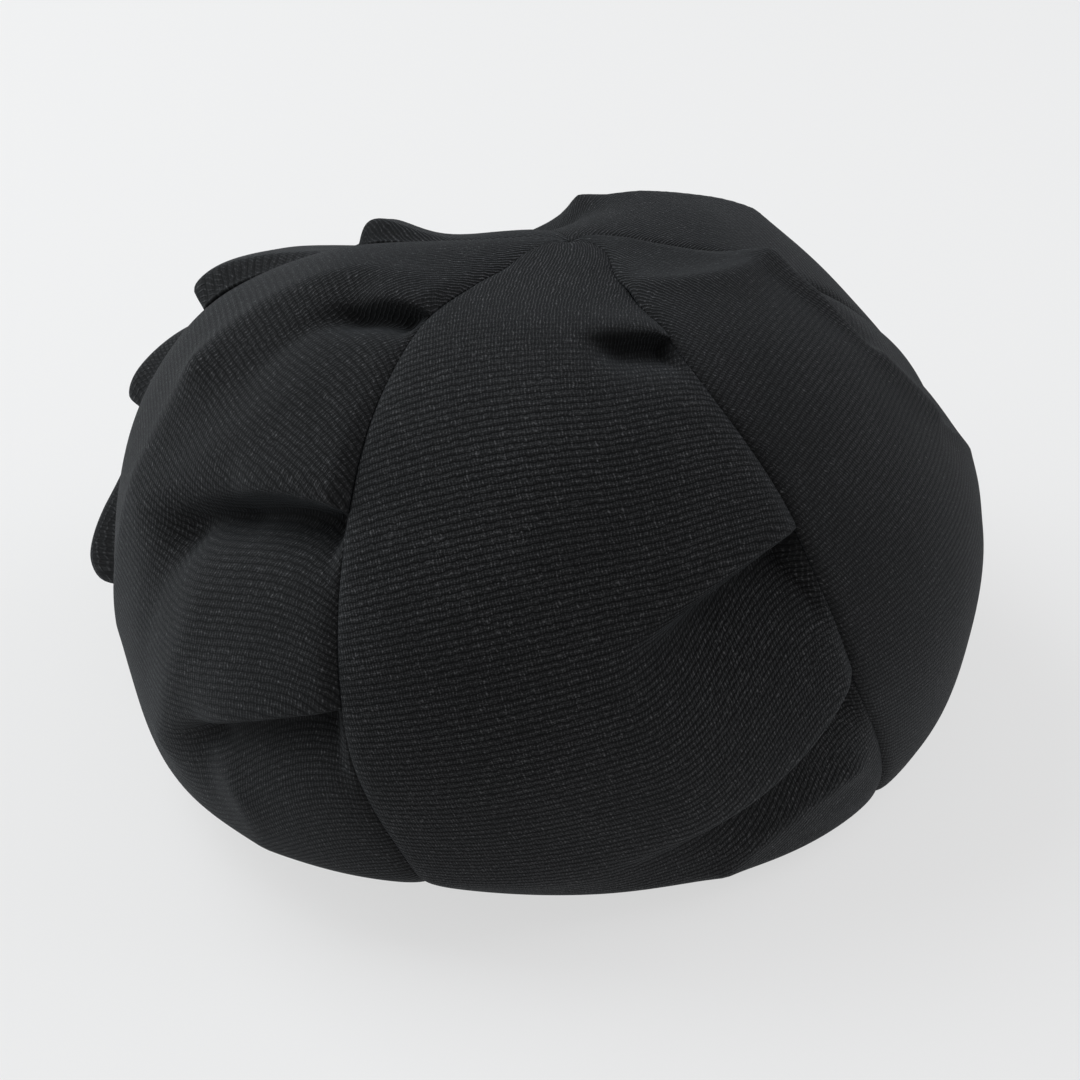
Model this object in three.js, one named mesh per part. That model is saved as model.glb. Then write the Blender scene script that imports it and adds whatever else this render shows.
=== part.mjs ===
// Baker boy cap, at rest on its headband.
// Five gores run from the top of the crown to the headband. One long edge of every gore is
// gathered into tucks before it is sewn to the plain edge of the next gore, so the folds start
// at a seam and die away across the gore. The headband is an oval hoop and the peak is stiff.
// Millimetres, +Z up, peak towards +Y, origin at the middle of the bounding box's bottom.
import * as THREE from "three";

// ---------------------------------------------------------------- driving dimensions

const CLOTH = 2.2; // wall of the crown
const SEAM_GAP = 0.3; // left between two sewn edges, twice as much where they bend at the top
const TIP = 0.8; // the gores stop this far along the cloth from the very top
const CLOTH_LENGTH = 290; // cloth from the top to the hem, measured along a gore

const HEAD_HALF_WIDTH = 88; // opening of the headband: 57 cm round
const HEAD_HALF_DEPTH = 94;
const BAND_WALL = 3;
const BAND_HEIGHT = 28;
const HEM_CLEARANCE = 0.8; // between the headband and the hem of the crown

const PEAK_REACH = 52; // forwards from the headband, on the centre line
const PEAK_HALF_ANGLE = 60; // degrees of the headband the peak is sewn to, each side of the front
const PEAK_WALL = 4;
const PEAK_ROOT_UP = 9.5; // middle of the peak's wall where it meets the headband
const PEAK_EDGE_UP = 7; // the same at the front edge
const PEAK_CAMBER = 3; // the sides hang lower than the centre line

const PUFF = 2; // the middle of a gore stands this far proud of the smooth crown
const SEAM_SINK = 1.5; // the sewn edges lie this far below it
const RIDGE_ROUND = 2.5; // radius that takes the edge off ridges and valleys
const ROUTE_STEPS = 10;

const GORE_COLUMNS = 11;
const GORE_ROWS = 40;

// Line of the crown from its top down to the hem, as seen at the back:
// distance along the cloth, distance from the axis, height.
const LINE = [
  { along: 0, out: 0, up: 165 },
  { along: 15, out: 15, up: 165.3 },
  { along: 30, out: 30, up: 165 },
  { along: 60, out: 60, up: 162 },
  { along: 90, out: 87, up: 148 },
  { along: 120, out: 107, up: 126.5 },
  { along: 150, out: 122.5, up: 100.5 },
  { along: 180, out: 131, up: 72 },
  { along: 210, out: 131, up: 43.5 },
  { along: 235, out: 126.5, up: 20 },
  { along: 250, out: 120.5, up: 10 },
  { along: 262, out: 108, up: 6 },
  { along: 274, out: 100.5, up: 11.5 },
  { along: 290, out: 98.5, up: 27 },
];

// How the crown differs round about, every 45 degrees from +X towards +Y.
// shoulder and waist multiply "out", slump lowers the shoulder, lift raises the roll underneath.
const ROUND_ABOUT = [
  { shoulder: 0.92, waist: 1.01, slump: 6, lift: 0 },
  { shoulder: 1.04, waist: 1.015, slump: 13, lift: 6 },
  { shoulder: 1.03, waist: 1.04, slump: 31, lift: 12 },
  { shoulder: 1.18, waist: 1.07, slump: 21, lift: 6 },
  { shoulder: 1.21, waist: 1.1, slump: -4, lift: -2 },
  { shoulder: 1.09, waist: 1.145, slump: -3, lift: 8 },
  { shoulder: 1.01, waist: 0.975, slump: 0, lift: 1 },
  { shoulder: 0.96, waist: 0.99, slump: 1, lift: -4 },
];

// Direction of each seam in degrees, at these distances along the cloth.
const SEAM_STATIONS = [0, 8, 20, 35, 60, 120, 180, 240, 290];
const SEAMS = {
  back_left: [-188, -172, -152, -146, -142, -134, -127, -120, -123],
  back_right: [5, -28, -64, -73, -74, -67, -61.5, -50, -45],
  right: [48, 24, 0, -8, -10.5, 3, 12, 18, 18],
  front: [98, 98, 98, 97, 94, 91, 90, 90, 90],
  left: [126, 138, 154, 160, 163, 164, 166, 167, 167],
};

// Each gore lies between two seams: its plain edge first, then its gathered edge.
const GORES = {
  back: { plain: "back_left", gathered: "back_right" },
  right: { plain: "back_right", gathered: "right" },
  front_right: { plain: "right", gathered: "front" },
  front_left: { plain: "front", gathered: "left" },
  left: { plain: "left", gathered: "back_left" },
};

// Tucks. at: where on the gathered seam, along the cloth. fades: part of the gore's width
// (0 plain edge, 1 gathered edge) where it has died out. run: how far down the hem side it has
// drifted there. bow: bends the fold's line, up to 1 either way. crest and hollow: cloth standing
// above the fold and sunk below it. soft: half the width of the step. above and below: how far
// along the cloth the crest and the hollow reach.
const TUCKS = {
  back: [
    { at: 60, fades: 0.58, run: -4, bow: 0.5, crest: 2, hollow: 7, soft: 5, above: 10, below: 12 },
    { at: 127, fades: 0.5, run: 26, bow: -0.45, crest: 2, hollow: 11, soft: 6, above: 26, below: 22 },
    { at: 175, fades: 0.3, run: 50, bow: 0.9, crest: 2, hollow: 7, soft: 5, above: 24, below: 16 },
  ],
  left: [
    { at: 59, fades: 0.62, run: 12, bow: -0.6, crest: 2, hollow: 10, soft: 5.5, above: 16, below: 12 },
    { at: 118, fades: 0.6, run: 18, bow: -1, crest: 3, hollow: 12, soft: 6.5, above: 22, below: 12 },
    { at: 166, fades: 0.58, run: 34, bow: -0.3, crest: 2, hollow: 9, soft: 5, above: 20, below: 15 },
  ],
  right: [
    { at: 64, fades: 0.6, run: 50, bow: -0.5, crest: 5, hollow: 3, soft: 5, above: 16, below: 14 },
    { at: 128, fades: 0.55, run: 10, bow: 0, crest: 1, hollow: 3, soft: 5, above: 20, below: 14 },
    { at: 180, fades: 0.6, run: 10, bow: 0, crest: 3, hollow: 4, soft: 5, above: 20, below: 14 },
  ],
  front_left: [
    { at: 47, fades: 0.35, run: 12, bow: 0, crest: 10, hollow: 4, soft: 5.5, above: 16, below: 12 },
    { at: 100, fades: 0.35, run: 12, bow: 0, crest: 9, hollow: 4, soft: 5, above: 30, below: 12 },
    { at: 145, fades: 0.35, run: 14, bow: 0, crest: 8, hollow: 4, soft: 5, above: 28, below: 12 },
    { at: 214, fades: 0.35, run: 14, bow: 0, crest: 19, hollow: 4, soft: 11, above: 34, below: 14 },
  ],
  front_right: [
    { at: 96, fades: 0.6, run: 12, bow: 0, crest: 5, hollow: 5, soft: 5, above: 24, below: 18 },
    { at: 160, fades: 0.5, run: 20, bow: 0, crest: 5, hollow: 5, soft: 5, above: 24, below: 20 },
  ],
};

// Soft ridges (above 0) and valleys (below 0) that carry the tucks on, each along a bent route
// "from" one point, "by" way of a second, "to" a third: part of the gore's width, then distance
// along the cloth. spread: how fast the sides fall, in mm. start and end: height at each end.
const SWELLS = {
  back: [
    { from: [0.56, 150], by: [0.53, 158], to: [0.52, 172], spread: 8, start: -2.5, end: 0 },
    { from: [0.91, 214], by: [0.68, 221], to: [0.57, 244], spread: 6, start: 2.5, end: 1.5 },
  ],
  left: [
    { from: [0.79, 68], by: [0.74, 80], to: [0.8, 104], spread: 6, start: -5, end: -1.5 },
    { from: [0.66, 52], by: [0.38, 62], to: [0.46, 104], spread: 7, start: 2, end: 3.5 },
    { from: [0.46, 104], by: [0.42, 140], to: [0.33, 192], spread: 7, start: 3.5, end: 1.5 },
    { from: [0.77, 92], by: [0.67, 112], to: [0.46, 146], spread: 9, start: 1, end: 2.5 },
    { from: [0.74, 127], by: [0.67, 131], to: [0.65, 142], spread: 6, start: -4, end: -6 },
    { from: [0.59, 144], by: [0.55, 158], to: [0.52, 182], spread: 7, start: -4, end: -1 },
    { from: [0.7, 146], by: [0.68, 172], to: [0.54, 206], spread: 6, start: 3, end: 2.5 },
    { from: [0.7, 192], by: [0.65, 198], to: [0.66, 212], spread: 6, start: -5, end: -1.5 },
    { from: [0.73, 200], by: [0.76, 214], to: [0.74, 228], spread: 6, start: 2, end: 1 },
  ],
  right: [
    { from: [0.12, 37], by: [0.45, 52], to: [0.91, 62], spread: 6, start: 2, end: 4 },
    { from: [0.8, 20], by: [0.78, 50], to: [0.91, 62], spread: 6, start: 1.5, end: 2 },
    { from: [0.66, 108], by: [0.6, 135], to: [0.76, 165], spread: 6, start: 3, end: 1.5 },
  ],
  front_left: [],
  front_right: [
    { from: [0.94, 34], by: [0.88, 36], to: [0.8, 38], spread: 6, start: -4, end: -3 },
    { from: [0.97, 50], by: [0.85, 54], to: [0.76, 46], spread: 6, start: 3.5, end: 4.5 },
    { from: [0.76, 46], by: [0.7, 47], to: [0.62, 52], spread: 7, start: 4.5, end: 2 },
    { from: [0.61, 50], by: [0.5, 62], to: [0.41, 84], spread: 12, start: 3, end: 4 },
  ],
};

// ---------------------------------------------------------------- small helpers

const RADIANS = Math.PI / 180;
const clamp = THREE.MathUtils.clamp;
const ease = THREE.MathUtils.smoothstep; // ease(x, from, to) rises from 0 to 1
const vector = (x, y, z) => new THREE.Vector3(x, y, z);

// Smooth curve through the values at uneven stations.
function curveThrough(stations, values) {
  const last = stations.length - 1;
  const step = stations.slice(1).map((station, i) => station - stations[i]);
  const rise = step.map((width, i) => (values[i + 1] - values[i]) / width);
  const slope = stations.map((_, i) =>
    i > 0 && i < last
      ? (rise[i - 1] * step[i] + rise[i] * step[i - 1]) / (step[i] + step[i - 1])
      : 0,
  );
  slope[0] = 1.5 * rise[0] - 0.5 * slope[1];
  slope[last] = 1.5 * rise[last - 1] - 0.5 * slope[last - 1];
  return (x) => {
    let i = 0;
    while (i < last - 1 && x >= stations[i + 1]) i += 1;
    const t = (x - stations[i]) / step[i];
    return (
      (1 + 2 * t) * (1 - t) ** 2 * values[i] +
      t * (1 - t) ** 2 * step[i] * slope[i] +
      t * t * (3 - 2 * t) * values[i + 1] +
      t * t * (t - 1) * step[i] * slope[i + 1]
    );
  };
}

// Smooth curve round the compass through eight values.
function curveRound(values) {
  const count = values.length;
  return (degrees) => {
    const place = (((degrees % 360) + 360) % 360) / (360 / count);
    const i = Math.floor(place) % count;
    const f = place - Math.floor(place);
    const [a, b, c, d] = [-1, 0, 1, 2].map((k) => values[(i + k + count) % count]);
    return (
      0.5 *
      (2 * b + (c - a) * f + (2 * a - 5 * b + 4 * c - d) * f * f + (3 * b - a - 3 * c + d) * f ** 3)
    );
  };
}

const column = (rows, name) => rows.map((row) => row[name]);
const lineOut = curveThrough(column(LINE, "along"), column(LINE, "out"));
const lineUp = curveThrough(column(LINE, "along"), column(LINE, "up"));
const shoulderAt = curveRound(column(ROUND_ABOUT, "shoulder"));
const waistAt = curveRound(column(ROUND_ABOUT, "waist"));
const slumpAt = curveRound(column(ROUND_ABOUT, "slump"));
const liftAt = curveRound(column(ROUND_ABOUT, "lift"));
const seamAt = Object.fromEntries(
  Object.entries(SEAMS).map(([name, directions]) => [name, curveThrough(SEAM_STATIONS, directions)]),
);

// Distance from the axis to an oval of these half axes, in the direction given in degrees.
function oval(halfX, halfY, degrees) {
  const angle = degrees * RADIANS;
  return 1 / Math.hypot(Math.cos(angle) / halfX, Math.sin(angle) / halfY);
}

// ---------------------------------------------------------------- crown

// A point of the smooth crown, before seams and tucks.
function crownPoint(degrees, along) {
  const toWaist = ease(along, 70, 190);
  const toHem = ease(along, 228, 276);
  const hem =
    oval(
      HEAD_HALF_WIDTH + BAND_WALL + HEM_CLEARANCE,
      HEAD_HALF_DEPTH + BAND_WALL + HEM_CLEARANCE,
      degrees,
    ) / LINE.at(-1).out;
  const full = shoulderAt(degrees) * (1 - toWaist) + waistAt(degrees) * toWaist;
  const out = lineOut(along) * (full * (1 - toHem) + hem * toHem);
  const up =
    lineUp(along) -
    slumpAt(degrees) * ease(along, 0, 70) * (1 - ease(along, 110, 230)) +
    liftAt(degrees) * ease(along, 200, 260) * (1 - ease(along, 262, 290));
  const angle = degrees * RADIANS;
  return vector(out * Math.cos(angle), out * Math.sin(angle), up);
}

// Outward direction of the smooth crown.
function crownNormal(degrees, along) {
  const small = 0.05;
  const s = clamp(along, 0.5, CLOTH_LENGTH - 0.5);
  const out = Math.max(Math.hypot(crownPoint(degrees, s).x, crownPoint(degrees, s).y), 3);
  const turn = small / out / RADIANS;
  const round = crownPoint(degrees + turn, s).sub(crownPoint(degrees - turn, s));
  const down = crownPoint(degrees, s + small).sub(crownPoint(degrees, s - small));
  return down.cross(round).normalize();
}

// How far below the fold of a tuck the cloth lies (negative: above it).
function belowFold(tuck, across, along) {
  const x = clamp((1 - across) / (1 - tuck.fades), 0, 1);
  return along - (tuck.at + tuck.run * (x + tuck.bow * x * (1 - x)));
}

// The nearest place of a bent route: how far away it is, and how far on, from 0 to 1.
function nearestOnRoute(swell, across, along, width) {
  const [from, by, to] = [swell.from, swell.by, swell.to].map(
    ([part, down]) => new THREE.Vector2(part * width, down),
  );
  const route = new THREE.QuadraticBezierCurve(from, by, to).getPoints(ROUTE_STEPS);
  const here = new THREE.Vector2(across * width, along);
  let nearest = { distance: Infinity, progress: 0 };
  for (let k = 0; k < ROUTE_STEPS; k += 1) {
    const path = route[k + 1].clone().sub(route[k]);
    const offset = here.clone().sub(route[k]);
    const part = clamp(offset.dot(path) / path.lengthSq(), 0, 1);
    const distance = offset.sub(path.multiplyScalar(part)).length();
    if (distance < nearest.distance) nearest = { distance, progress: (k + part) / ROUTE_STEPS };
  }
  return nearest;
}

// Height of the cloth over the smooth crown. across: 0 at the plain edge, 1 at the gathered one.
function relief(gore, across, along, width) {
  const fromPlain = across * width;
  const fromGathered = (1 - across) * width;
  const nearHem = 1 - ease(along, 252, 276);
  let height = ease(along, 10, 60) * PUFF * Math.max(Math.sin(Math.PI * across), 0) ** 0.8;
  const seams = Math.exp(-fromPlain / 1.6) + Math.exp(-fromGathered / 3);
  height -= SEAM_SINK * seams * (0.2 + 0.8 * ease(along, 4, 24));

  for (const tuck of TUCKS[gore]) {
    const x = clamp((1 - across) / (1 - tuck.fades), 0, 1);
    const below = belowFold(tuck, across, along);
    const [reach, size, pinned] =
      below < 0 ? [tuck.above, tuck.crest, 0.35] : [tuck.below, tuck.hollow, 0.12];
    const strength = (1 - ease(x, 0.5, 1)) * (pinned + (1 - pinned) * ease(fromGathered, 0, 5));
    height -= Math.tanh(below / tuck.soft) * size * Math.exp(-((below / reach) ** 2)) * strength;
  }

  for (const swell of SWELLS[gore]) {
    const { distance, progress } = nearestOnRoute(swell, across, along, width);
    const rounded = Math.hypot(distance, RIDGE_ROUND) - RIDGE_ROUND;
    const top = swell.start + (swell.end - swell.start) * progress;
    height += top * Math.exp(-rounded / swell.spread);
  }
  return height * nearHem;
}

// Rows of a gore's mesh stand closer together at its tucks, at the top and where it turns under.
function rowStations(gore, across) {
  const density = (along) =>
    TUCKS[gore].reduce((sum, tuck) => sum + 2 * Math.exp(-((belowFold(tuck, across, along) / 9) ** 2)), 1) +
    2 * ease(along, 230, 250) +
    3 * (1 - ease(along, 20, 50));
  const total = [0];
  for (let along = 1; along <= CLOTH_LENGTH; along += 1) total.push(total.at(-1) + density(along));
  return Array.from({ length: GORE_ROWS + 1 }, (_, j) => {
    const goal = (j / GORE_ROWS) * total.at(-1);
    let i = 1;
    while (i < CLOTH_LENGTH && total[i] < goal) i += 1;
    return clamp(i - (total[i] - goal) / (total[i] - total[i - 1]), TIP, CLOTH_LENGTH);
  });
}

// The two faces of the cloth of one gore at a place on it.
function clothAt(gore, across, along) {
  const { plain, gathered } = GORES[gore];
  const start = seamAt[plain](along);
  let span = seamAt[gathered](along) - start;
  if (span < 0) span += 360;
  const middle = crownPoint(start + span * across, along);
  const out = Math.hypot(middle.x, middle.y);
  const gap = SEAM_GAP * (2 - ease(along, 70, 110));
  const margin = Math.min(gap / 2 / out / RADIANS, span * 0.3);
  const degrees = start + margin + (span - 2 * margin) * across;
  const point = crownPoint(degrees, along);
  const normal = crownNormal(degrees, along);
  const outer = point.addScaledVector(normal, relief(gore, across, along, span * RADIANS * out));
  return [outer, outer.clone().addScaledVector(normal, -CLOTH)];
}

// A closed sheet of cloth from a grid of [outer, inner] points.
function sheetGeometry(grid) {
  const columns = grid.length - 1;
  const rows = grid[0].length - 1;
  const positions = [];
  const index = (i, j, side) => 2 * (i * (rows + 1) + j) + side;
  grid.flat(2).forEach((point) => positions.push(point.x, point.y, point.z));
  const faces = [];
  const quad = (a, b, c, d) => faces.push(a, b, c, a, c, d);
  for (let i = 0; i < columns; i += 1)
    for (let j = 0; j < rows; j += 1) {
      quad(index(i, j, 0), index(i, j + 1, 0), index(i + 1, j + 1, 0), index(i + 1, j, 0));
      quad(index(i, j, 1), index(i + 1, j, 1), index(i + 1, j + 1, 1), index(i, j + 1, 1));
    }
  for (let i = 0; i < columns; i += 1) {
    quad(index(i, 0, 0), index(i + 1, 0, 0), index(i + 1, 0, 1), index(i, 0, 1));
    quad(index(i, rows, 0), index(i, rows, 1), index(i + 1, rows, 1), index(i + 1, rows, 0));
  }
  for (let j = 0; j < rows; j += 1) {
    quad(index(0, j, 0), index(0, j, 1), index(0, j + 1, 1), index(0, j + 1, 0));
    quad(index(columns, j, 0), index(columns, j + 1, 0), index(columns, j + 1, 1), index(columns, j, 1));
  }
  const geometry = new THREE.BufferGeometry();
  geometry.setAttribute("position", new THREE.Float32BufferAttribute(positions, 3));
  geometry.setIndex(faces);
  geometry.computeVertexNormals();
  return geometry;
}

function goreGeometry(gore) {
  const grid = Array.from({ length: GORE_COLUMNS + 1 }, (_, i) => {
    const across = (1 - Math.cos((Math.PI * i) / GORE_COLUMNS)) / 2;
    return rowStations(gore, across).map((along) => clothAt(gore, across, along));
  });
  return sheetGeometry(grid);
}

// ---------------------------------------------------------------- headband and peak

// A hoop of this section: [distance outside the opening, height], anticlockwise.
function hoopGeometry(section, segments) {
  const positions = [];
  const faces = [];
  for (let i = 0; i < segments; i += 1) {
    const angle = (2 * Math.PI * i) / segments;
    for (const [outside, up] of section)
      positions.push(
        (HEAD_HALF_WIDTH + outside) * Math.cos(angle),
        (HEAD_HALF_DEPTH + outside) * Math.sin(angle),
        up,
      );
  }
  const count = section.length;
  for (let i = 0; i < segments; i += 1)
    for (let k = 0; k < count; k += 1) {
      const a = i * count + k;
      const b = i * count + ((k + 1) % count);
      const c = ((i + 1) % segments) * count + ((k + 1) % count);
      const d = ((i + 1) % segments) * count + k;
      faces.push(a, c, b, a, d, c);
    }
  const geometry = new THREE.BufferGeometry();
  geometry.setAttribute("position", new THREE.Float32BufferAttribute(positions, 3));
  geometry.setIndex(faces);
  geometry.computeVertexNormals();
  return geometry;
}

function headbandGeometry() {
  const round = 0.6;
  return hoopGeometry(
    [
      [round, 0],
      [BAND_WALL - round, 0],
      [BAND_WALL, round],
      [BAND_WALL, BAND_HEIGHT - round],
      [BAND_WALL - round, BAND_HEIGHT],
      [round, BAND_HEIGHT],
      [0, BAND_HEIGHT - round],
      [0, round],
    ],
    64,
  );
}

// Middle of the peak's wall. side: -1 to 1 from the left end to the right one, forth: 0 at the
// headband and 1 at the front edge.
function peakPoint(side, forth) {
  const degrees = 90 - PEAK_HALF_ANGLE * side;
  const angle = degrees * RADIANS;
  const root = oval(HEAD_HALF_WIDTH + BAND_WALL + SEAM_GAP, HEAD_HALF_DEPTH + BAND_WALL + SEAM_GAP, degrees);
  const reach = PEAK_REACH * Math.cos((Math.PI / 2) * 0.98 * side) ** 0.65 * forth;
  return vector(
    root * Math.cos(angle) + reach * 0.35 * Math.cos(angle),
    root * Math.sin(angle) + reach,
    PEAK_ROOT_UP + (PEAK_EDGE_UP - PEAK_ROOT_UP) * forth - PEAK_CAMBER * side * side * forth,
  );
}

function peakGeometry() {
  const columns = 28;
  const rows = 7;
  const grid = Array.from({ length: columns + 1 }, (_, i) => {
    const side = Math.sin((Math.PI / 2) * ((2 * i) / columns - 1));
    return Array.from({ length: rows + 1 }, (_, j) => {
      const forth = Math.sin((Math.PI / 2) * (j / rows));
      const half = (PEAK_WALL / 2) * (1 - 0.55 * ease(forth, 0.9, 1));
      const point = peakPoint(side, forth);
      return [point.clone().add(vector(0, 0, half)), point.clone().add(vector(0, 0, -half))];
    }).reverse();
  });
  return sheetGeometry(grid);
}

// ---------------------------------------------------------------- the cap

const black = (roughness) => new THREE.MeshStandardMaterial({ color: 0x1c1d20, roughness });

const group = new THREE.Group();
group.name = "baker_boy_cap";

function addPiece(name, geometry, roughness) {
  const mesh = new THREE.Mesh(geometry, black(roughness));
  mesh.name = name;
  group.add(mesh);
}

for (const gore of Object.keys(GORES)) addPiece("crown_panel_" + gore, goreGeometry(gore), 0.9);
addPiece("headband", headbandGeometry(), 0.9);
addPiece("peak", peakGeometry(), 0.85);

const middle = new THREE.Box3().setFromObject(group).getCenter(vector(0, 0, 0));
for (const mesh of group.children) mesh.geometry.translate(-middle.x, -middle.y, 0);

export default group;
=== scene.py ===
"""Baker boy cap: a crown of five gathered gores, a headband and a stiff peak, in ribbed crepe.

The crown is one smooth surface with its puffs, seams, tucks and swells laid on as relief. The
knit is a procedural material that follows the cloth as it lay flat.
"""

import math

import bpy
import numpy as np
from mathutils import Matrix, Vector


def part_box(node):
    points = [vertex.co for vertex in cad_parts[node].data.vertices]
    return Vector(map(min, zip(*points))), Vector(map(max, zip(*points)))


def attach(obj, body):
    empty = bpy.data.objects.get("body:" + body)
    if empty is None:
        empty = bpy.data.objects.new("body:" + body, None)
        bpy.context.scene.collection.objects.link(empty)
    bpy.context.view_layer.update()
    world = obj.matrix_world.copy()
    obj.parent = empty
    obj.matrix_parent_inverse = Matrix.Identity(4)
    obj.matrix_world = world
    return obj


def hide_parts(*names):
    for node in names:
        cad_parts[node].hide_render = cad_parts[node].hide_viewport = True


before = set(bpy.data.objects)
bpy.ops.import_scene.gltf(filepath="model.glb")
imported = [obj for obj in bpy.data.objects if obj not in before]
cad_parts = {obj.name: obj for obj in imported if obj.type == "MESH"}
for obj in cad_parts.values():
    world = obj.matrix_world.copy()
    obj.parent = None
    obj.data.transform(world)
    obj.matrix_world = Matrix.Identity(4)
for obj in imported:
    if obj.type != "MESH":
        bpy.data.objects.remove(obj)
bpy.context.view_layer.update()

MM = 0.001
RAD = math.pi / 180

# The crown is worked out about the headband's axis, in millimetres, and moved into the frame.
band_low, band_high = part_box("headband")
AXIS_X = (band_low[0] + band_high[0]) / 2
AXIS_Y = (band_low[1] + band_high[1]) / 2
BAND_HALF_WIDTH = (band_high[0] - band_low[0]) / 2 / MM
BAND_HALF_DEPTH = (band_high[1] - band_low[1]) / 2 / MM
BAND_HEIGHT = band_high[2] / MM

# ------------------------------------------------------------------ sizes of the crown

CLOTH = 1.3  # thickness
CLOTH_LENGTH = 290  # from the middle of the top down to the hem
APEX = 0.05  # start of the cloth, just off the middle of the top
SEAM_GAP = 0.1  # between neighbouring gores
HEM_CLEARANCE = 0.5  # from the headband
PUFF = 2.0  # rise of a gore between its seams
SEAM_DEPTH = 1.5  # dip of a gore at its seams, which fades over the reach
PLAIN_SEAM_REACH, GATHERED_SEAM_REACH = 1.6, 3
RIDGE_ROUND = 2.5  # rounding of a swell's crest
ROUTE_STEPS = 10  # straight stretches in a swell's bent route

# The edge of a gore that is turned in and lies under the next gore.
TURN_IN = 2.5  # width under its own cloth
ALLOWANCE, ALLOWANCE_CLOTH = 7.0, 0.8  # width under the next gore, and thickness
UNDER_OWN, UNDER_NEXT = 0.1, 0.6  # clearance below its own cloth and the next gore's

# Line down the crown, before the factors below: along the cloth, out from the axis, up.
LINE = np.array([
    (0, 0, 165), (15, 15, 165.3), (30, 30, 165), (60, 60, 162), (90, 87, 148),
    (120, 107, 126.5), (150, 122.5, 100.5), (180, 131, 72), (210, 131, 43.5),
    (235, 126.5, 20), (250, 120.5, 10), (262, 108, 6), (274, 100.5, 11.5), (290, 98.5, 27),
])
# Every 45 degrees from +X: shoulder and waist factors, slump of the shoulder, lift underneath.
ROUND_ABOUT = np.array([
    (0.92, 1.01, 6, 0), (1.04, 1.015, 13, 6), (1.03, 1.04, 31, 12), (1.18, 1.07, 21, 6),
    (1.21, 1.1, -4, -2), (1.09, 1.145, -3, 8), (1.01, 0.975, 0, 1), (0.96, 0.99, 1, -4),
])
# Places along the cloth where these change, and where they have changed.
SHOULDER_TO_WAIST, WAIST_TO_HEM = (70, 190), (228, 276)
SLUMP_COMES, SLUMP_GOES = (0, 70), (110, 230)
LIFT_COMES, LIFT_GOES = (200, 260), (262, 290)

# Degrees from +X of each seam, at these places along the cloth.
SEAM_STATIONS = (0, 8, 20, 35, 60, 120, 180, 240, 290)
SEAMS = {
    "back_left": (-188, -172, -152, -146, -142, -134, -127, -120, -123),
    "back_right": (5, -28, -64, -73, -74, -67, -61.5, -50, -45),
    "right": (48, 24, 0, -8, -10.5, 3, 12, 18, 18),
    "front": (98, 98, 98, 97, 94, 91, 90, 90, 90),
    "left": (126, 138, 154, 160, 163, 164, 166, 167, 167),
}
# gore: plain seam, gathered seam, lean of the ribs
GORES = {
    "back": ("back_left", "back_right", 0.12),
    "right": ("back_right", "right", 0.0),
    "front_right": ("right", "front", 0.0),
    "front_left": ("front", "left", 0.0),
    "left": ("left", "back_left", -0.2),
}
# Tucks from the gathered seam into the gore. In a row: at, how far down the seam; fades, the part
# of the gore's width where it dies out; run and bow, how far down it goes and how it bends;
# crest above it and hollow below; lap of one over the other; softness of the fold at the seam
# and at its end; reach above and below; take-up, the cloth folded away.
TUCKS = {
    "back": (
        (60, 0.58, -4, 0.5, 2, 7, 1.5, 1.8, 4, 10, 11, 6),
        (127, 0.5, 26, -0.45, 2, 11, 2, 1.6, 5, 26, 22, 34),
        (175, 0.3, 50, 0.9, 2, 7, 2, 1.5, 4, 24, 16, 6),
    ),
    "left": (
        (56, 0.58, 14, -0.6, 2, 8, 1.5, 1.8, 4, 16, 8, 10),
        (117, 0.5, 27, -1, 4, 14, 2, 2, 4, 22, 11, 22),
        (166, 0.58, 34, -0.3, 2, 9, 2, 1.6, 3, 20, 15, 20),
    ),
    "right": (
        (64, 0.6, 50, -0.5, 4, 3, 2, 3, 5, 16, 14, 10),
        (128, 0.55, 10, 0, 1, 3, 2, 1.8, 5, 20, 14, 16),
        (180, 0.6, 10, 0, 3, 4, 2, 2.4, 6, 20, 14, 10),
    ),
    "front_left": (
        (53, 0.35, 12, 0, 12, 2, 2, 6, 8, 14, 14, 20),
        (100, 0.35, 12, 0, 9, 4, 4, 2.4, 8, 30, 12, 20),
        (145, 0.35, 14, 0, 8, 4, 4, 2.4, 8, 28, 12, 20),
        (216, 0.35, 14, 0, 19, 4, 5, 2.4, 8, 34, 14, 20),
    ),
    "front_right": (
        (96, 0.6, 12, 0, 5, 5, 4, 2.4, 8, 24, 18, 20),
        (160, 0.5, 20, 0, 5, 5, 4, 2.4, 8, 24, 20, 20),
    ),
}
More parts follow.
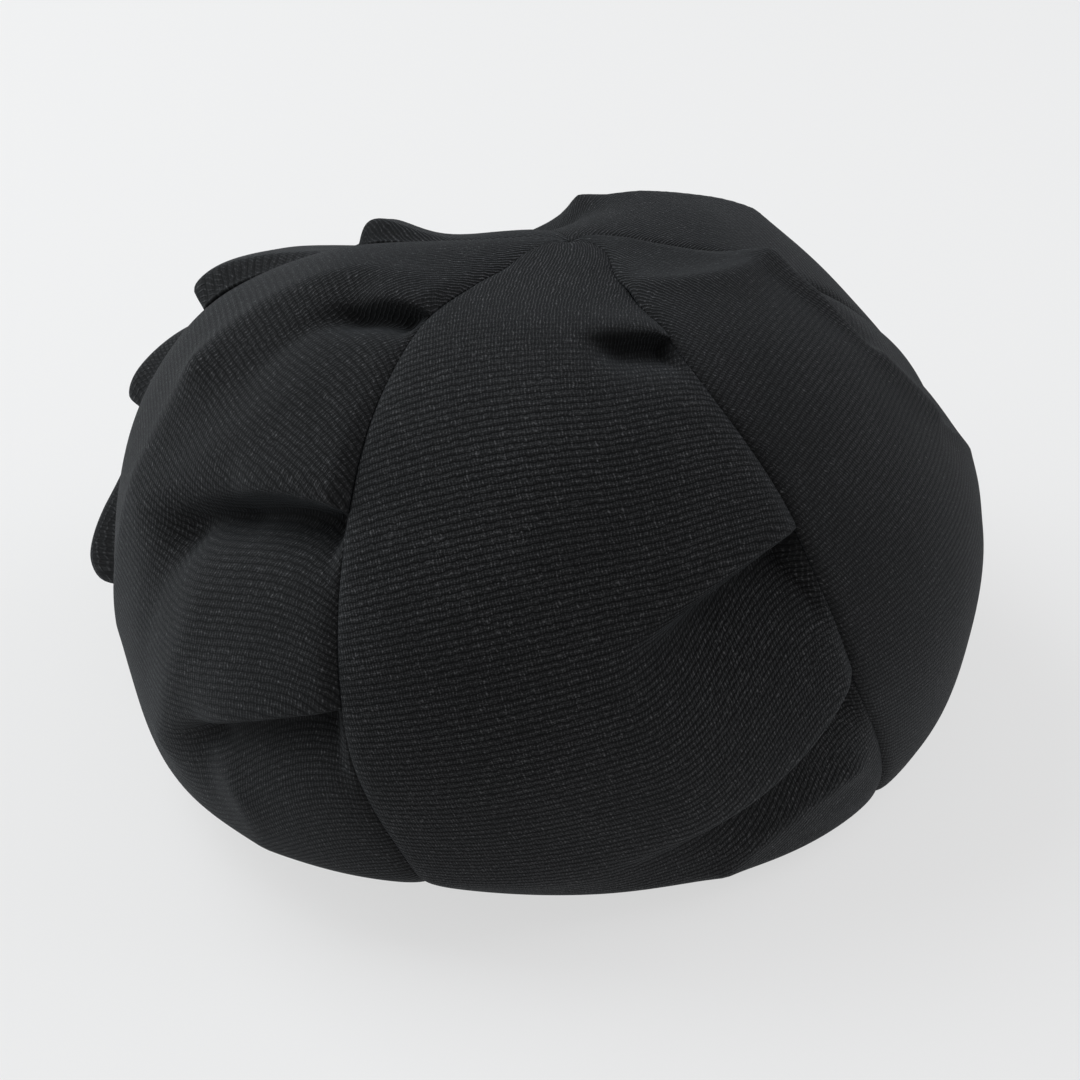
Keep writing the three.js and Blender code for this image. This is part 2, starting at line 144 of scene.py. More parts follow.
# Soft ridges (above 0) and valleys (below 0). In a row: from, by way of and to, each as part of
# the gore's width and distance along the cloth; spread of the sides; height at each end.
SWELLS = {
    "back": (
        (0.56, 150, 0.53, 158, 0.52, 172, 8, -2.5, 0),
        (0.91, 214, 0.68, 221, 0.57, 244, 3.5, 2.5, 1.5),
    ),
    "left": (
        (0.70, 66, 0.61, 76, 0.60, 96, 6, -4, -2),
        (0.68, 52, 0.40, 62, 0.46, 104, 7, 2, 3.5),
        (0.46, 104, 0.42, 140, 0.33, 192, 7, 3.5, 1.5),
        (0.77, 92, 0.67, 112, 0.46, 146, 9, 1, 2.5),
        (0.70, 126, 0.62, 132, 0.57, 145, 7, -5, -6),
        (0.59, 144, 0.55, 158, 0.52, 182, 7, -4, -1),
        (0.69, 158, 0.66, 176, 0.56, 206, 8, 2, 3),
        (0.70, 192, 0.65, 198, 0.66, 212, 6, -5, -1.5),
        (0.73, 200, 0.76, 214, 0.74, 228, 6, 2, 1),
    ),
    "right": (
        (0.12, 37, 0.45, 52, 0.91, 62, 5, 2.5, 3.2),
        (0.80, 20, 0.78, 50, 0.91, 62, 5, 1.5, 0.5),
        (0.66, 108, 0.60, 135, 0.76, 165, 5, 3, 1.5),
    ),
    "front_left": (),
    "front_right": (
        (0.94, 34, 0.88, 36, 0.80, 38, 4, -4, -3),
        (0.97, 50, 0.85, 54, 0.76, 46, 6, 3.5, 4.5),
        (0.76, 46, 0.70, 47, 0.62, 52, 7, 4.5, 2),
        (0.61, 50, 0.50, 62, 0.41, 84, 12, 3, 4),
    ),
}

# ------------------------------------------------------------------ curves


def curve_through(stations, values, x):
    """Smooth curve through values at uneven stations."""
    xs, ys = np.asarray(stations, float), np.asarray(values, float)
    step = np.diff(xs)
    rise = np.diff(ys) / step
    slope = np.empty_like(ys)
    slope[1:-1] = (rise[:-1] * step[1:] + rise[1:] * step[:-1]) / (step[1:] + step[:-1])
    slope[0] = 1.5 * rise[0] - 0.5 * slope[1]
    slope[-1] = 1.5 * rise[-1] - 0.5 * slope[-2]
    i = np.clip(np.searchsorted(xs, x, side="right") - 1, 0, len(xs) - 2)
    h = step[i]
    t = (x - xs[i]) / h
    return (
        (1 + 2 * t) * (1 - t) ** 2 * ys[i] + t * (1 - t) ** 2 * h * slope[i]
        + t * t * (3 - 2 * t) * ys[i + 1] + t * t * (t - 1) * h * slope[i + 1]
    )


def curve_round(values, degrees):
    """Smooth closed curve through values at even steps round the compass."""
    v = np.asarray(values, float)
    n = len(v)
    place = (np.asarray(degrees) % 360) / (360 / n)
    i = np.floor(place).astype(int) % n
    f = place - np.floor(place)
    a, b, c, d = (v[(i + k) % n] for k in (-1, 0, 1, 2))
    return 0.5 * (2 * b + (c - a) * f + (2 * a - 5 * b + 4 * c - d) * f**2
                  + (3 * b - a - 3 * c + d) * f**3)


def ease(x, low, high):
    """0 up to low, 1 from high on, and smooth between."""
    t = np.clip((x - low) / (high - low), 0, 1)
    return t * t * (3 - 2 * t)


def oval(half_x, half_y, degrees):
    """Distance from the middle of an oval to its edge."""
    return 1 / np.hypot(np.cos(degrees * RAD) / half_x, np.sin(degrees * RAD) / half_y)


# ------------------------------------------------------------------ crown


def crown_point(degrees, along):
    """Point of the smooth crown, before any relief."""
    to_waist, to_hem = ease(along, *SHOULDER_TO_WAIST), ease(along, *WAIST_TO_HEM)
    shoulder, waist, slump, lift = (curve_round(ROUND_ABOUT[:, k], degrees) for k in range(4))
    hem = oval(BAND_HALF_WIDTH + HEM_CLEARANCE, BAND_HALF_DEPTH + HEM_CLEARANCE, degrees)
    hem = hem / LINE[-1, 1]
    full = shoulder * (1 - to_waist) + waist * to_waist
    out = curve_through(LINE[:, 0], LINE[:, 1], along) * (full * (1 - to_hem) + hem * to_hem)
    up = (curve_through(LINE[:, 0], LINE[:, 2], along)
          - slump * ease(along, *SLUMP_COMES) * (1 - ease(along, *SLUMP_GOES))
          + lift * ease(along, *LIFT_COMES) * (1 - ease(along, *LIFT_GOES)))
    return np.stack([out * np.cos(degrees * RAD), out * np.sin(degrees * RAD), up], -1)


def crown_normal(degrees, along):
    """Outward direction of the smooth crown."""
    step, margin, least_out = 0.05, 0.5, 3
    s = np.clip(along, margin, CLOTH_LENGTH - margin)
    at = crown_point(degrees, s)
    turn = step / np.maximum(np.hypot(at[..., 0], at[..., 1]), least_out) / RAD
    round_ = crown_point(degrees + turn, s) - crown_point(degrees - turn, s)
    down = crown_point(degrees, s + step) - crown_point(degrees, s - step)
    normal = np.cross(down, round_)
    return normal / np.linalg.norm(normal, axis=-1, keepdims=True)


def fold_place(tuck, across, along):
    """x: 0 at the seam and 1 where the tuck has died out; and how far below the fold."""
    at, fades, run, bow = tuck[:4]
    x = np.clip((1 - across) / (1 - fades), 0, 1)
    return x, along - (at + run * (x + bow * x * (1 - x)))


def distance_to_route(across_mm, along, route, width):
    """Distance from a bent route over the gore, and how far on that is, from 0 to 1."""
    a0, s0, a1, s1, a2, s2 = route
    nearest = np.full(across_mm.shape, np.inf)
    progress = np.zeros(across_mm.shape)
    t = np.linspace(0, 1, ROUTE_STEPS + 1)
    to_x = (1 - t) ** 2 * a0 + 2 * t * (1 - t) * a1 + t * t * a2
    to_y = (1 - t) ** 2 * s0 + 2 * t * (1 - t) * s1 + t * t * s2
    for k in range(ROUTE_STEPS):
        x0, y0 = to_x[k] * width, to_y[k]
        px, py = (to_x[k + 1] - to_x[k]) * width, to_y[k + 1] - to_y[k]
        hx, hy = across_mm - x0, along - y0
        f = np.clip((hx * px + hy * py) / (px * px + py * py), 0, 1)
        distance = np.hypot(hx - f * px, hy - f * py)
        closer = distance < nearest
        nearest = np.where(closer, distance, nearest)
        progress = np.where(closer, (k + f) / ROUTE_STEPS, progress)
    return nearest, progress


def relief(gore, across, along, width):
    """Height over the smooth crown, shift down at the laps, cloth taken up, and painted shade in
    the creases.
    """
    # A pair says where a thing begins and ends to come or go: in mm along the cloth or below the
    # fold, and for tuck_goes and for the end of the painted shade in fold_place's x.
    puff_squareness, puff_comes = 0.8, (10, 60)
    seam_at_apex, seam_comes = 0.2, (4, 24)
    crest_pinned, hollow_pinned, pinned_reach = 0.35, 0.12, 5
    tuck_goes, painted_shade_goes, lap_fades = (0.5, 1), (0.6, 1), 1.2
    painted_shade_reach, relief_goes = (1, 12), (252, 276)

    from_plain, from_gathered = across * width, (1 - across) * width
    height = ease(along, *puff_comes) * PUFF * np.sin(np.pi * across).clip(0) ** puff_squareness
    seams = (np.exp(-from_plain / PLAIN_SEAM_REACH)
             + np.exp(-from_gathered / GATHERED_SEAM_REACH))
    seam_depth = SEAM_DEPTH * (seam_at_apex + (1 - seam_at_apex) * ease(along, *seam_comes))
    height = height - seam_depth * seams
    shift = np.zeros_like(height)
    taken = np.zeros_like(height)
    painted_crease_shade = np.zeros_like(height)
    from_seam = ease(from_gathered, 0, pinned_reach)
    for tuck in TUCKS[gore]:
        crest, hollow, lap, soft_seam, soft_end, above, below, take_up = tuck[4:]
        x, q = fold_place(tuck, across, along)
        soft = soft_seam + (soft_end - soft_seam) * x
        pinned = np.where(q < 0, crest_pinned, hollow_pinned)
        strength = (1 - ease(x, *tuck_goes)) * (pinned + (1 - pinned) * from_seam)
        reach, size = np.where(q < 0, above, below), np.where(q < 0, crest, hollow)
        height = height - np.tanh(q / soft) * size * np.exp(-((q / reach) ** 2)) * strength
        lapping = (q / soft) * np.exp(0.5 - 0.5 * (q / soft) ** 2)
        shift = shift - lap * (1 - x) ** lap_fades * lapping
        taken = taken + take_up * (1 - ease(x, 0, 1)) * ease(q, -soft, soft)
        # Painted shade: the cloth's colour is darkened under each fold, in the creases where
        # shade falls.
        under = ease(q, -soft, 0) * (1 - ease(q, *painted_shade_reach))
        painted_crease_shade = np.maximum(painted_crease_shade, (1 - ease(x, *painted_shade_goes)) * under)
    for swell in SWELLS[gore]:
        spread, start, end = swell[6:]
        distance, progress = distance_to_route(from_plain, along, swell[:6], width)
        rounded = np.hypot(distance, RIDGE_ROUND) - RIDGE_ROUND
        height = height + (start + (end - start) * progress) * np.exp(-rounded / spread)
    near_hem = 1 - ease(along, *relief_goes)
    return height * near_hem, shift * near_hem, taken, painted_crease_shade


def stations(gore, across, rows):
    """Rows of the mesh, closer together at the tucks and where the crown turns under."""
    turned_under, closer_under, closer_at_tuck, tuck_reach = (225, 245), 1.5, 2.5, 9
    s = np.arange(0, CLOTH_LENGTH + 1.0)
    density = 1 + closer_under * ease(s, *turned_under)
    for tuck in TUCKS[gore]:
        from_fold = fold_place(tuck, across, s)[1]
        density = density + closer_at_tuck * np.exp(-((from_fold / tuck_reach) ** 2))
    total = np.concatenate([[0], np.cumsum((density[1:] + density[:-1]) / 2)])
    return np.interp(np.linspace(0, total[-1], rows), total, s).clip(APEX, CLOTH_LENGTH)


def cloth_coordinates(gore, across, along, width, taken, painted_crease_shade):
    """Place on the flat cloth in mm; clarity of the ribs; painted shade in the creases.

    The gore is laid out as on a ball of this radius, where it spans twice this half angle, so
    that the ribs lie square across its middle and bend towards its edges.
    """
    radius, half, least_width, ribs_come = 124.0, 36 * RAD, 0.5, (25, 85)
    bend = along / radius
    turn = (2 * across - 1) * half
    x = radius * np.arcsin(np.clip(np.sin(bend) * np.sin(turn), -1, 1))
    x = x * width / np.maximum(radius * np.abs(np.sin(bend)) * 2 * half, least_width)
    y = radius * np.arctan2(np.sin(bend) * np.cos(turn), np.cos(bend))
    return x, y + taken + GORES[gore][2] * x, ease(along, *ribs_come), painted_crease_shade


def between_seams(gore, across, along):
    """Longitude of a place on the gore, and the gore's width there."""
    plain, gathered, _ = GORES[gore]
    most_margin = 0.3
    start = curve_through(SEAM_STATIONS, SEAMS[plain], along)
    span = curve_through(SEAM_STATIONS, SEAMS[gathered], along) - start
    span = np.where(span < 0, span + 360, span)
    middle = crown_point(start + span * across, along)
    out = np.hypot(middle[..., 0], middle[..., 1])
    margin = np.minimum(SEAM_GAP / 2 / out / RAD, span * most_margin)
    return start + margin + (span - 2 * margin) * across, span * RAD * out


def surface(gore, across, along):
    """Outer surface, normals, values for lay_cloth, and where each row lies after the laps."""
    width = between_seams(gore, across, along)[1]
    height, shift, taken, painted_crease_shade = relief(gore, across, along, width)
    lapped = np.clip(along + shift, APEX, CLOTH_LENGTH)
    degrees = between_seams(gore, across, lapped)[0]
    normal = crown_normal(degrees, lapped)
    outer = crown_point(degrees, lapped) + normal * height[..., None]
    return outer, normal, cloth_coordinates(gore, across, along, width, taken, painted_crease_shade), lapped


def gore_sheet(gore, columns, rows):
    """Outer and inner grid of the gore and its values for lay_cloth."""
    across = np.repeat(((1 - np.cos(np.linspace(0, np.pi, columns))) / 2)[:, None], rows, 1)
    along = np.stack([stations(gore, a, rows) for a in across[:, 0]])
    outer, normal, cloth, _ = surface(gore, across, along)
    return outer, outer - normal * CLOTH, cloth


def seam_allowance(gore, rows):
    """Edge of the gore turned in at its gathered seam, and lying under the next gore."""
    next_gore = next(name for name in GORES if GORES[name][0] == GORES[gore][1])
    along = stations(gore, 1.0, rows)[None, :]
    width = between_seams(gore, 1.0, along)[1]
    # Columns of the sheet, in mm from the seam on either side.
    own_side = np.array([[TURN_IN], [0.0]])
    next_side = np.array([[0.8], [3.0], [ALLOWANCE]])
    most_own, most_next, most_lift = 0.4, 0.45, 0.02  # as parts of the widths, and of along

    own = (own_side / width).clip(0, most_own)
    outer, normal, _, lapped = surface(gore, 1 - own, np.repeat(along, 2, 0))
    top = outer - normal * (CLOTH + UNDER_OWN)
    # The edge follows the laps of its own seam, but never turns back up the cloth.
    follow = np.maximum.accumulate(np.maximum(lapped[1], along[0] * (1 - most_lift)))[None, :]
    under = (next_side / width).clip(0, most_next)
    outer, next_normal, _, _ = surface(next_gore, under, np.repeat(follow, 3, 0))
    top = np.concatenate([top, outer - next_normal * (CLOTH + UNDER_NEXT)])
    normal = np.concatenate([normal, next_normal])

    across_mm = np.concatenate([TURN_IN - own_side, TURN_IN + next_side])
    place = np.broadcast_to(across_mm, top.shape[:2])
    down = np.broadcast_to(along, top.shape[:2])
    # The turned-in edge is painted fully in shade, as it lies under the next gore.
    clear = fully_painted_shade = np.ones_like(down)
    return top, top - normal * ALLOWANCE_CLOTH, (place, down, clear, fully_painted_shade)


# ------------------------------------------------------------------ meshes


def into_frame(points):
    """From millimetres about the headband's axis to the frame's metres."""
    return np.asarray(points) * MM + np.array([AXIS_X, AXIS_Y, 0])


def lay_cloth(mesh, cloth):
    """For each point: place on the cloth and clarity of its ribs; painted shade in the creases.
    """
    place = mesh.attributes.new("cloth", "FLOAT_VECTOR", "POINT")
    place.data.foreach_set("vector", np.stack(cloth[:3], -1).astype(np.float32).ravel())
    painted_crease_shade = mesh.attributes.new("painted_crease_shade", "FLOAT", "POINT")
    painted_crease_shade.data.foreach_set("value", cloth[3].astype(np.float32))


def quads(a, b, c, d):
    return np.stack([a, b, c, d], -1).reshape(-1, 4)


def cloth_object(name, points, faces, cloth):
    """Smooth-shaded object from points in millimetres, faces and values for lay_cloth."""
    mesh = bpy.data.meshes.new(name)
    mesh.from_pydata(into_frame(points).tolist(), [], faces.tolist())
    lay_cloth(mesh, cloth)
    mesh.polygons.foreach_set("use_smooth", [True] * len(mesh.polygons))
    mesh.update()
    obj = bpy.data.objects.new(name, mesh)
    bpy.context.scene.collection.objects.link(obj)
    return obj


def sheet_mesh(name, *sheets):
    """Closed sheets, each between two grids of points, with its values for lay_cloth."""
    points, faces, values = [], [], []
    for outer, inner, cloth in sheets:
        columns, rows = outer.shape[:2]
        index = np.arange(columns * rows).reshape(columns, rows) + sum(map(len, points))
        other = index + columns * rows
        points += [outer.reshape(-1, 3), inner.reshape(-1, 3)]
        values.append([np.tile(value.ravel(), 2) for value in cloth])
        faces += [
            quads(index[:-1, :-1], index[:-1, 1:], index[1:, 1:], index[1:, :-1]),
            quads(other[:-1, :-1], other[1:, :-1], other[1:, 1:], other[:-1, 1:]),
            quads(index[:-1, 0], index[1:, 0], other[1:, 0], other[:-1, 0]),
            quads(index[:-1, -1], other[:-1, -1], other[1:, -1], index[1:, -1]),
            quads(index[0, :-1], other[0, :-1], other[0, 1:], index[0, 1:]),
            quads(index[-1, :-1], index[-1, 1:], other[-1, 1:], other[-1, :-1]),
        ]
    cloth = [np.concatenate(value) for value in zip(*values)]
    return cloth_object(name, np.concatenate(points), np.concatenate(faces), cloth)


# ------------------------------------------------------------------ ribbed crepe

RIB, WALE = 1.93, 0.95  # mm from rib to rib down the cloth, and from stitch to stitch across it
ROWS, HALVES = 3.0, 2.0  # bits of yarn in a rib and in a stitch
DRIFT, WAVER = 0.5, 0.15  # mm that the knit wanders, and part of a rib that a rib wavers
STITCH_SHARPNESS, STITCH_GAIN, RIB_SHARPNESS = 2.5, 2.0, 0.6
BETWEEN_STITCHES = 0.7  # body of a rib between two columns of stitches
DRIFT_SCALE, WAVER_SCALE, GRAIN_SCALE, PATCH_SCALE = 0.4, 0.9, 2.6, 0.03  # per mm
BY_CHANCE, BY_GRAIN, BY_ROW = (0.7, 1.5), (0.1, 1.7), (0.5, 1.5)  # the yarn's least and most
BRIGHT_RARITY, PAINTED_GLINT_RARITY, PAINTED_GLINT = 3.0, 16.0, 1.2  # the higher the rarity, the rarer; a glint is a painted highlight
KNIT_DEPTH, GRAIN_DEPTH = 0.2, 0.5  # mm; and the grain's height as part of the knit's
DARKEST, LIGHTEST = (0.003, 0.003, 0.0031, 1), (0.083, 0.083, 0.086, 1)  # ends of the shade
DULLEST, BRIGHTEST = 0.2, 0.34  # factors of the shade, in patches
PAINTED_SHADE_IN_CREASES = 0.15  # factor of the colour in the creases: painted shade
MEAN_SHADE = 0.4  # shade that stays the same in a bolder or a fainter knit
SHEEN, SHEEN_ROUGHNESS, SHEEN_TINT = 0.05, 0.55, (0.84, 0.92, 1.0, 1)
ROUGHNESS, SPECULAR = 0.8, 0.08


def crepe(name, bold):
    """Black ribbed crepe: ribs cut into columns of stitches, uneven yarn with a few painted
    glints, painted shade in the creases and a faint sheen.

    bold: contrast of the stitches, stronger above 1 and fainter below.
    """
    material = bpy.data.materials.new(name)
    material.use_nodes = True
    nodes, links = material.node_tree.nodes, material.node_tree.links
    nodes.clear()

    def node(kind, **values):
        made = nodes.new(kind)
        for key, value in values.items():
            setattr(made, key, value)
        return made

    def calc(operation, *values):
        made = node("ShaderNodeMath", operation=operation)
        for socket, value in zip(made.inputs, values):
            if hasattr(value, "links"):
                links.new(value, socket)
            else:
                socket.default_value = value
        return made.outputs[0]

    def noise(scale, detail, roughness=0.5):
        made = node("ShaderNodeTexNoise", noise_dimensions="2D")
        for socket, value in (("Scale", scale), ("Detail", detail), ("Roughness", roughness)):
            made.inputs[socket].default_value = value
        links.new(place, made.inputs["Vector"])
        return made.outputs[0]

    def bars(count, sharpness):
        """1 at each whole number and 0 half-way between two of them."""
        wave = calc("COSINE", calc("MULTIPLY", count, 2 * math.pi))
        return calc("POWER", calc("MULTIPLY_ADD", wave, 0.5, 0.5), sharpness)

    def blend(share, low, high):
        return calc("MULTIPLY_ADD", share, high - low, low)

    # Ribs and columns of stitches, counted over the flat cloth.
    place = node("ShaderNodeAttribute", attribute_name="cloth").outputs["Vector"]
    split = node("ShaderNodeSeparateXYZ")
    links.new(place, split.inputs[0])
    clarity = split.outputs[2]
    drift = blend(noise(DRIFT_SCALE, 2.0), -DRIFT, DRIFT)
    across = calc("DIVIDE", calc("ADD", split.outputs[0], drift), WALE)
    along = calc("DIVIDE", calc("ADD", split.outputs[1], drift), RIB)
    along = calc("ADD", along, blend(noise(WAVER_SCALE, 1.0), -WAVER, WAVER))
    stitches = calc("MULTIPLY", bars(across, STITCH_SHARPNESS), STITCH_GAIN)
    between = calc("MULTIPLY", clarity, BETWEEN_STITCHES)
    gaps = calc("MULTIPLY", calc("SUBTRACT", 1.0, bars(along, RIB_SHARPNESS)), clarity)
    ribs = calc("SUBTRACT", 1.0, gaps)
    body = calc("MULTIPLY", ribs, calc("MAXIMUM", stitches, between))

    # Uneven yarn: each bit of a stitch has its own brightness, and a few of them get a painted
    # glint.
    grain = noise(GRAIN_SCALE, 1.0, 0.8)
    cell = node("ShaderNodeCombineXYZ")
    links.new(calc("ROUND", calc("MULTIPLY", across, HALVES)), cell.inputs[0])
    links.new(calc("ROUND", calc("MULTIPLY", along, ROWS)), cell.inputs[1])
    white_noise = node("ShaderNodeTexWhiteNoise", noise_dimensions="2D")
    links.new(cell.outputs[0], white_noise.inputs["Vector"])
    chance = white_noise.outputs["Value"]
    yarn = blend(calc("POWER", chance, BRIGHT_RARITY), *BY_CHANCE)
    yarn = calc("MULTIPLY", yarn, blend(grain, *BY_GRAIN))
    yarn = calc("ADD", yarn, calc("MULTIPLY", calc("POWER", chance, PAINTED_GLINT_RARITY), PAINTED_GLINT))
    rows = bars(calc("MULTIPLY", along, ROWS), 1.0)
    yarn = calc("MULTIPLY", yarn, blend(rows, *BY_ROW))

    bump = node("ShaderNodeBump")
    bump.inputs["Strength"].default_value = 1.0
    bump.inputs["Distance"].default_value = KNIT_DEPTH * MM
    links.new(calc("ADD", calc("MULTIPLY", grain, GRAIN_DEPTH), body), bump.inputs["Height"])

    shade = calc("MULTIPLY", body, yarn)
    shade = calc("MULTIPLY_ADD", shade, bold, MEAN_SHADE * (1 - bold))
    shade = calc("MULTIPLY", shade, blend(noise(PATCH_SCALE, 2.0), DULLEST, BRIGHTEST))
    # Painted shade: the colour is darkened in the creases under the folds.
    painted_crease_shade = node("ShaderNodeAttribute", attribute_name="painted_crease_shade").outputs["Fac"]
    shade = calc("MULTIPLY", shade, blend(painted_crease_shade, 1.0, PAINTED_SHADE_IN_CREASES))
    colour = node("ShaderNodeValToRGB")
    for element, position, value in zip(colour.color_ramp.elements, (0, 1), (DARKEST, LIGHTEST)):
        element.position, element.color = position, value
    links.new(shade, colour.inputs[0])

    shader = node("ShaderNodeBsdfPrincipled")
    shader.inputs["Roughness"].default_value = ROUGHNESS
    shader.inputs["Specular IOR Level"].default_value = SPECULAR
    shader.inputs["Sheen Weight"].default_value = SHEEN
    shader.inputs["Sheen Roughness"].default_value = SHEEN_ROUGHNESS
    shader.inputs["Sheen Tint"].default_value = SHEEN_TINT
    links.new(colour.outputs[0], shader.inputs["Base Color"])
    links.new(bump.outputs[0], shader.inputs["Normal"])
    output = node("ShaderNodeOutputMaterial")
    links.new(shader.outputs[0], output.inputs["Surface"])
    return material


# Contrast of the stitches on each piece, lower on the side gores as painted sheen and blur that
# wash out the knit there.
BOLD_WITH_PAINTED_SHEEN = {"back": 1.2, "right": 0.7, "front_right": 0.7, "front_left": 0.6, "left": 0.85,
        "band": 0.7, "peak": 0.7}
crown_cloth = {gore: crepe("crepe " + gore, BOLD_WITH_PAINTED_SHEEN[gore]) for gore in GORES}
band_cloth = crepe("band crepe", BOLD_WITH_PAINTED_SHEEN["band"])
peak_cloth = crepe("peak crepe", BOLD_WITH_PAINTED_SHEEN["peak"])

GORE_COLUMNS, GORE_ROWS = 90, 250

for gore in GORES:
    sheets = gore_sheet(gore, GORE_COLUMNS, GORE_ROWS), seam_allowance(gore, GORE_ROWS)
    piece = sheet_mesh("gore_" + gore, *sheets)
    piece.data.materials.append(crown_cloth[gore])
    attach(piece, "root")
    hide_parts("crown_panel_" + gore)

# ------------------------------------------------------------------ headband and peak


def band_section(wall, round_edge, corner_points, longest_side):
    """Upright rectangle with rounded corners, from the inner side at the bottom."""
    section = []
    for k, (cx, cy) in enumerate(((0, 0), (wall, 0), (wall, BAND_HEIGHT), (0, BAND_HEIGHT))):
        mx = cx + (round_edge if cx == 0 else -round_edge)
        my = cy + (round_edge if cy == 0 else -round_edge)
        for t in np.linspace(0, math.pi / 2, corner_points):
            angle = math.pi + k * math.pi / 2 + t
            section.append((mx + round_edge * math.cos(angle), my + round_edge * math.sin(angle)))
    section = np.array(section)
    dense = []
    for a, b in zip(section, np.roll(section, -1, 0)):
        pieces = max(1, int(np.hypot(*(b - a)) / longest_side))
        dense += [a + (b - a) * t for t in np.arange(pieces) / pieces]
    return np.array(dense)


def band_piece():
    """Oval hoop with rounded edges."""
    wall, turns = 3.0, 180
    half_round = 286  # half of the band's length round
    section = band_section(wall, round_edge=1.0, corner_points=5, longest_side=3)
    grid = (turns, len(section))
    angle = np.linspace(0, 2 * math.pi, turns, endpoint=False)[:, None]
    points = np.stack([
        (BAND_HALF_WIDTH - wall + section[:, 0]) * np.cos(angle),
        (BAND_HALF_DEPTH - wall + section[:, 0]) * np.sin(angle),
        np.broadcast_to(section[:, 1], grid),
    ], -1)
    index = np.arange(grid[0] * grid[1]).reshape(grid)
    onward = np.roll(index, -1, 0)
    faces = quads(index, onward, np.roll(onward, -1, 1), np.roll(index, -1, 1))
    around = np.abs(((angle / math.pi + 1) % 2) - 1) * half_round
    values = (around, section[:, 1] + section[:, 0], np.ones((1, 1)), np.zeros((1, 1)))
    cloth = [np.broadcast_to(value, grid).ravel() for value in values]
    return cloth_object("headband_cloth", points.reshape(-1, 3), faces, cloth)


def peak_piece():
    """Cloth over a stiff board: a shallow curved blade with a full rounded edge."""
    reach, half_angle, wall, gap = 52.0, 60.0, 4.0, 0.3
    root_up, edge_up, camber = 9.5, 7.0, 3.0
    blade_squareness, taper, fan, edge_starts, edge_round = 0.65, 0.98, 0.35, 0.93, 0.97
    columns, rows = 90, 40
    side = np.sin(np.linspace(-1, 1, columns) * math.pi / 2)[:, None]
    forth = np.sin(np.linspace(0, 1, rows) * math.pi / 2)[None, :]
    degrees = 90 - half_angle * side
    root = oval(BAND_HALF_WIDTH + gap, BAND_HALF_DEPTH + gap, degrees)
    out = reach * np.cos(math.pi / 2 * taper * side) ** blade_squareness * forth
    x = root * np.cos(degrees * RAD) + out * fan * np.cos(degrees * RAD)
    y = root * np.sin(degrees * RAD) + out
    z = root_up + (edge_up - root_up) * forth - camber * side**2 * forth
    near_edge = ((forth - edge_starts) / (1 - edge_starts)).clip(0, 1)
    half = wall / 2 * np.sqrt(1 - near_edge**2 * edge_round) * np.ones_like(x)
    over_edge = wall / 2 - half  # the knit runs on over the edge
    top = np.stack([x, y, z + half], -1)[:, ::-1]
    bottom = np.stack([x, y, z - half], -1)[:, ::-1]
    cloth = (x[:, ::-1], (y + over_edge)[:, ::-1], np.ones_like(x), np.zeros_like(x))
    return sheet_mesh("peak_cloth", (top, bottom, cloth))


band = band_piece()
band.data.materials.append(band_cloth)
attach(band, "root")
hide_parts("headband")

peak = peak_piece()
peak.data.materials.append(peak_cloth)
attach(peak, "root")
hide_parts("peak")

# ------------------------------------------------------------------ floor, light, camera

FLOOR_COLOUR, FLOOR_GLOW, SKY = 0.2, 0.63, 0.35
FLOOR_HALF, FLOOR_DROP = 40, 0.0005  # metres, as for the distances below
LAMP_SIZE, LAMP_DISTANCE = 1.4, 1.9
CAMERA_AZIMUTH, CAMERA_ELEVATION, CAMERA_DISTANCE = -12, 34, 0.75
CAMERA_LENS, CAMERA_SENSOR, CAMERA_REACH = 77.2, 36, 200

scene = bpy.context.scene
target = np.array([AXIS_X - 0.011, AXIS_Y - 0.007, 0.062])  # that the camera and lamps look at


def floor_material():
    """Plain pale floor with light of its own, which keeps the shadow soft and faint."""
    material = bpy.data.materials.new("floor")
    material.use_nodes = True
    shader = material.node_tree.nodes["Principled BSDF"]
    shader.inputs["Base Color"].default_value = (FLOOR_COLOUR, FLOOR_COLOUR, FLOOR_COLOUR, 1)
    shader.inputs["Roughness"].default_value = 1.0
    shader.inputs["Specular IOR Level"].default_value = 0.0
    shader.inputs["Emission Color"].default_value = (1, 1, 1, 1)
    shader.inputs["Emission Strength"].default_value = FLOOR_GLOW
    return material


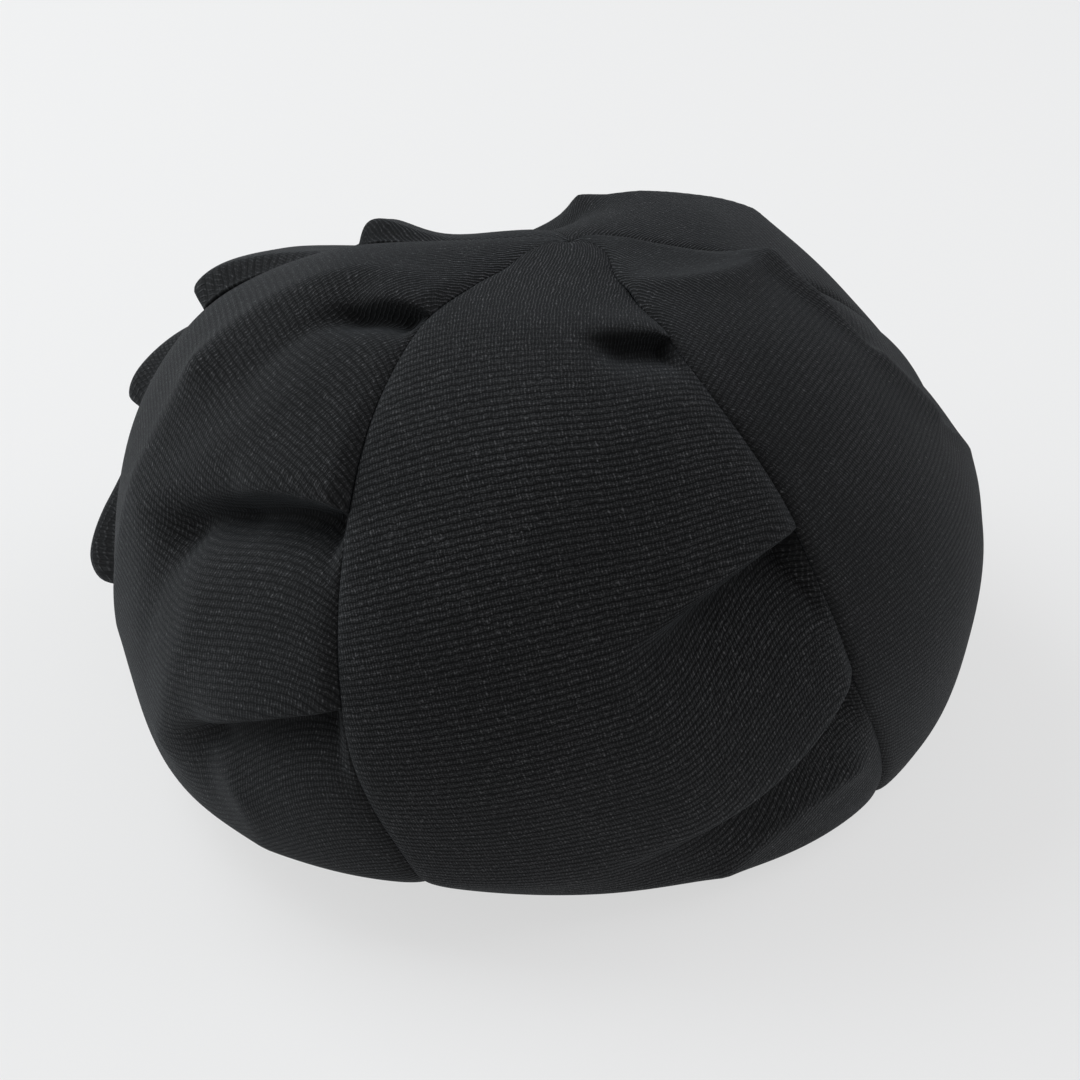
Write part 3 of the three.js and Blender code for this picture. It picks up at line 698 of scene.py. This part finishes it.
def soft_sky():
    """Even white light from all round."""
    world = bpy.data.worlds.new("sky")
    world.use_nodes = True
    background = world.node_tree.nodes["Background"]
    background.inputs["Color"].default_value = (1, 1, 1, 1)
    background.inputs["Strength"].default_value = SKY
    return world


def aim(obj, position):
    """Put a lamp or the camera at a position and turn it to the cap."""
    obj.location = Vector(position)
    obj.rotation_euler = (Vector(target) - Vector(position)).to_track_quat("-Z", "Y").to_euler()


def lamp(name, degrees, up, power, colour):
    """Soft box on a dome about the cap, at degrees from +X and up from the floor; watts."""
    light = bpy.data.lights.new(name, "AREA")
    light.energy, light.size, light.color = power, LAMP_SIZE, colour
    obj = bpy.data.objects.new(name, light)
    scene.collection.objects.link(obj)
    way = (math.cos(degrees * RAD) * math.cos(up * RAD),
           math.sin(degrees * RAD) * math.cos(up * RAD), math.sin(up * RAD))
    aim(obj, target + LAMP_DISTANCE * np.array(way))


corners = [(x * FLOOR_HALF, y * FLOOR_HALF, 0) for x, y in ((-1, -1), (1, -1), (1, 1), (-1, 1))]
floor_mesh = bpy.data.meshes.new("floor")
floor_mesh.from_pydata(corners, [], [(0, 1, 2, 3)])
floor = bpy.data.objects.new("floor", floor_mesh)
floor.location.z = -FLOOR_DROP
floor_mesh.materials.append(floor_material())
scene.collection.objects.link(floor)
scene.world = soft_sky()

lamp("window", 142, 48, 27, (0.93, 0.97, 1.0))
lamp("left", 168, 16, 18, (0.91, 0.98, 1.0))
lamp("right", 0, 35, 15, (0.93, 0.95, 1.0))

azimuth, elevation = CAMERA_AZIMUTH * RAD, CAMERA_ELEVATION * RAD
camera_data = bpy.data.cameras.new("camera")
camera_data.sensor_width = CAMERA_SENSOR
camera_data.lens = CAMERA_LENS
camera_data.clip_end = CAMERA_REACH
camera = bpy.data.objects.new("camera", camera_data)
scene.collection.objects.link(camera)
direction = np.array([math.sin(azimuth) * math.cos(elevation),
                      -math.cos(azimuth) * math.cos(elevation), math.sin(elevation)])
aim(camera, target + direction * CAMERA_DISTANCE)
scene.camera = camera
scene.view_settings.view_transform = "Standard"
